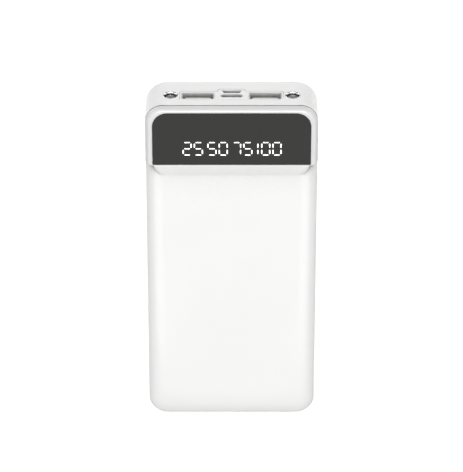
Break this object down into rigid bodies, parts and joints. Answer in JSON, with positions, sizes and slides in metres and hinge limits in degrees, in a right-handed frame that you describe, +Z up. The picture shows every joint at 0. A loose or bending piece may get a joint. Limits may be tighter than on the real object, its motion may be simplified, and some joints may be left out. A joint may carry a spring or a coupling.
{
  "type": "power bank",
  "caption": "Slim white power bank: raised dark display block with level digits, USB outputs, charging ports and torch lamps in the top end, side power button.",
  "frame": {"origin": "middle of the bottom end, on the surface the power bank stands on", "axes": "+Z up the long axis to the end with the ports, -Y out of the front with the display, +X to the right seen from the front"},
  "size_m": [0.07, 0.026, 0.15],
  "materials": {
    "white_shell": "satin-gloss white ABS with a very fine moulded texture",
    "white_bezel": "white ABS insert, a little duller than the case",
    "dark_gloss": "smoked, polished acrylic",
    "digit_white": "milky light guide, lit from behind",
    "board_green": "solder mask over glass-epoxy",
    "steel": "tin-plated, lightly brushed",
    "chrome": "vacuum-metallised",
    "clear_lens": "clear polished acrylic",
    "phosphor": "LED package with yellow phosphor",
    "black_plastic": "glass-filled black nylon",
    "ferrite": "moulded ferrite",
    "capacitor_tan": "fired ceramic",
    "cell_foil": "laminated aluminium pouch",
    "foam": "closed-cell adhesive foam",
    "paper": "fibre insulating paper",
    "wire_red": "silicone sleeve",
    "wire_black": "silicone sleeve"
  },
  "bodies": {
    "case": {"rear_housing": "white_shell", "front_cover": "white_shell", "port_bezel": "white_bezel", "display_lens": "dark_gloss", "digit_light_guide": "digit_white", "display_board": "board_green", "main_board": "board_green", "protection_board": "board_green", "display_screw_left": "steel", "display_screw_right": "steel", "board_screw_1": "steel", "board_screw_2": "steel", "board_screw_3": "steel", "board_screw_4": "steel", "usb_a_left_shell": "steel", "usb_a_right_shell": "steel", "usb_c_shell": "steel", "micro_usb_shell": "steel", "lamp_reflector_left": "chrome", "lamp_reflector_right": "chrome", "lamp_lens_left": "clear_lens", "lamp_lens_right": "clear_lens", "lamp_led_left": "phosphor", "lamp_led_right": "phosphor", "display_led_1": "phosphor", "display_led_2": "phosphor", "display_led_3": "phosphor", "display_led_4": "phosphor", "usb_a_left_tongue": "black_plastic", "usb_a_right_tongue": "black_plastic", "usb_c_tongue": "black_plastic", "micro_usb_tongue": "black_plastic", "switch_body": "black_plastic", "controller_chip": "black_plastic", "transistor_left": "black_plastic", "transistor_right": "black_plastic", "boost_inductor": "ferrite", "charge_inductor": "ferrite", "capacitor_left": "capacitor_tan", "capacitor_right": "capacitor_tan", "cell_front": "cell_foil", "cell_rear": "cell_foil", "cell_pad": "foam", "cover_foam": "foam", "cell_insulator": "paper", "wire_positive": "wire_red", "wire_negative": "wire_black"},
    "button": {"power_button": "white_shell"},
    "plunger": {"switch_plunger": "black_plastic"}
  },
  "joints": [
    {"name": "power_button_press", "type": "slide", "parent": "case", "child": "button", "axis": [-1, 0, 0], "range_m": [0, 0.0003], "stiffness_N_per_m": 800},
    {"name": "switch_plunger_press", "type": "slide", "parent": "case", "child": "plunger", "axis": [-1, 0, 0], "range_m": [0, 0.0003]}
  ],
  "couplings": [
    {"joint": "switch_plunger_press", "follows": "power_button_press", "ratio": 1}
  ]
}
